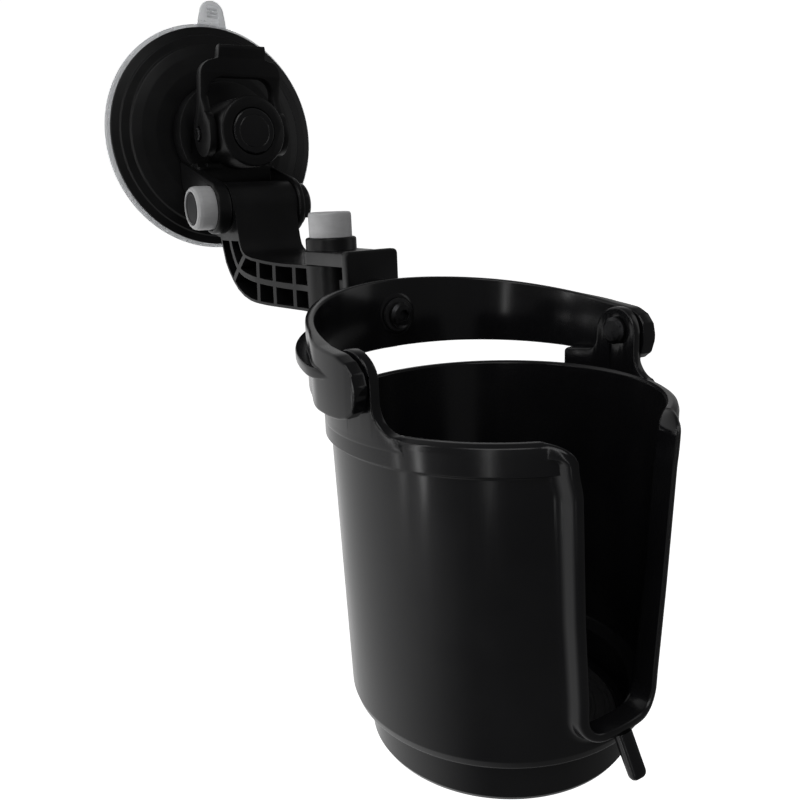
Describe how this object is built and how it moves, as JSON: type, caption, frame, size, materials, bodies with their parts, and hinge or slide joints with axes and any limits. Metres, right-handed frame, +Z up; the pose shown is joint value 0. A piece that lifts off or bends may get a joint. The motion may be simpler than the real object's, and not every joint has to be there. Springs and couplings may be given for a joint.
{
  "type": "suction-mounted drink holder",
  "caption": "Cup holder that hangs from a lever-locked suction cup on a folding arm with push-button joints and a gimbal ring, with a slot for a mug handle.",
  "frame": {"origin": "centre of the suction pad's glass face", "axes": "+Y points into the glass the pad is stuck to, +Z is up, and the cup hangs on the -Y side"},
  "size_m": [0.1078, 0.242, 0.2351],
  "materials": {
    "gloss_black_abs": "glossy moulded",
    "satin_black_abs": "satin moulded",
    "clear_pvc": "soft translucent",
    "grey_button": "satin moulded",
    "disc_dark": "satin",
    "dark_nylon": "dull moulded",
    "zinc_steel": "zinc plated",
    "black_oxide": "black oxide",
    "brass_insert": "turned",
    "black_rubber": "matt"
  },
  "bodies": {
    "head": {"suction_pad": "clear_pvc", "pad_stem": "dark_nylon", "cover_dish": "satin_black_abs", "hub_block": "satin_black_abs", "boss_cap": "gloss_black_abs", "tilt_axle": "zinc_steel", "tilt_end_cap": "gloss_black_abs"},
    "lever": {"cam_lever": "satin_black_abs", "lever_pin": "black_oxide"},
    "tilt_push": {"tilt_button": "grey_button", "tilt_button_disc": "disc_dark", "tilt_lock_gear": "dark_nylon"},
    "arm": {"j_arm": "satin_black_abs", "tilt_spring": "zinc_steel", "swing_spring": "zinc_steel"},
    "swing_push": {"swing_button": "grey_button", "swing_button_disc": "disc_dark", "swing_lock_gear": "dark_nylon"},
    "bracket": {"link_bracket": "satin_black_abs", "swing_axle": "zinc_steel", "ring_insert": "brass_insert", "ring_bolt": "black_oxide", "ring_washer": "dark_nylon"},
    "ring": {"gimbal_ring": "gloss_black_abs"},
    "cup": {"cup_body": "gloss_black_abs", "cup_pin_left": "black_oxide", "cup_pin_right": "black_oxide", "cup_mat": "black_rubber"}
  },
  "joints": [
    {"name": "lever_flip", "type": "hinge", "parent": "head", "child": "lever", "pos_m": [0, -0.0275, 0], "axis": [1, 0, 0], "range_deg": [0, 85]},
    {"name": "tilt_press", "type": "slide", "parent": "head", "child": "tilt_push", "axis": [1, 0, 0], "range_m": [0, 0.003], "stiffness_N_per_m": 300, "springref_m": -0.002, "deforming": ["tilt_spring"]},
    {"name": "arm_tilt", "type": "hinge", "parent": "head", "child": "arm", "pos_m": [0, -0.0395, -0.0286], "axis": [1, 0, 0], "range_deg": [-30, 20]},
    {"name": "swing_press", "type": "slide", "parent": "bracket", "child": "swing_push", "axis": [0, 0, -1], "range_m": [0, 0.003], "stiffness_N_per_m": 300, "springref_m": -0.002, "deforming": ["swing_spring"]},
    {"name": "arm_swing", "type": "hinge", "parent": "arm", "child": "bracket", "pos_m": [0, -0.1002, -0.057], "axis": [0, 0, 1], "range_deg": [-75, 75]},
    {"name": "ring_roll", "type": "hinge", "parent": "bracket", "child": "ring", "pos_m": [0, -0.1386, -0.0629], "axis": [0, 1, 0], "range_deg": [-25, 25]},
    {"name": "cup_swing", "type": "hinge", "parent": "ring", "child": "cup", "pos_m": [0, -0.1907, -0.0677], "axis": [1, 0, 0], "range_deg": [-30, 6]}
  ]
}
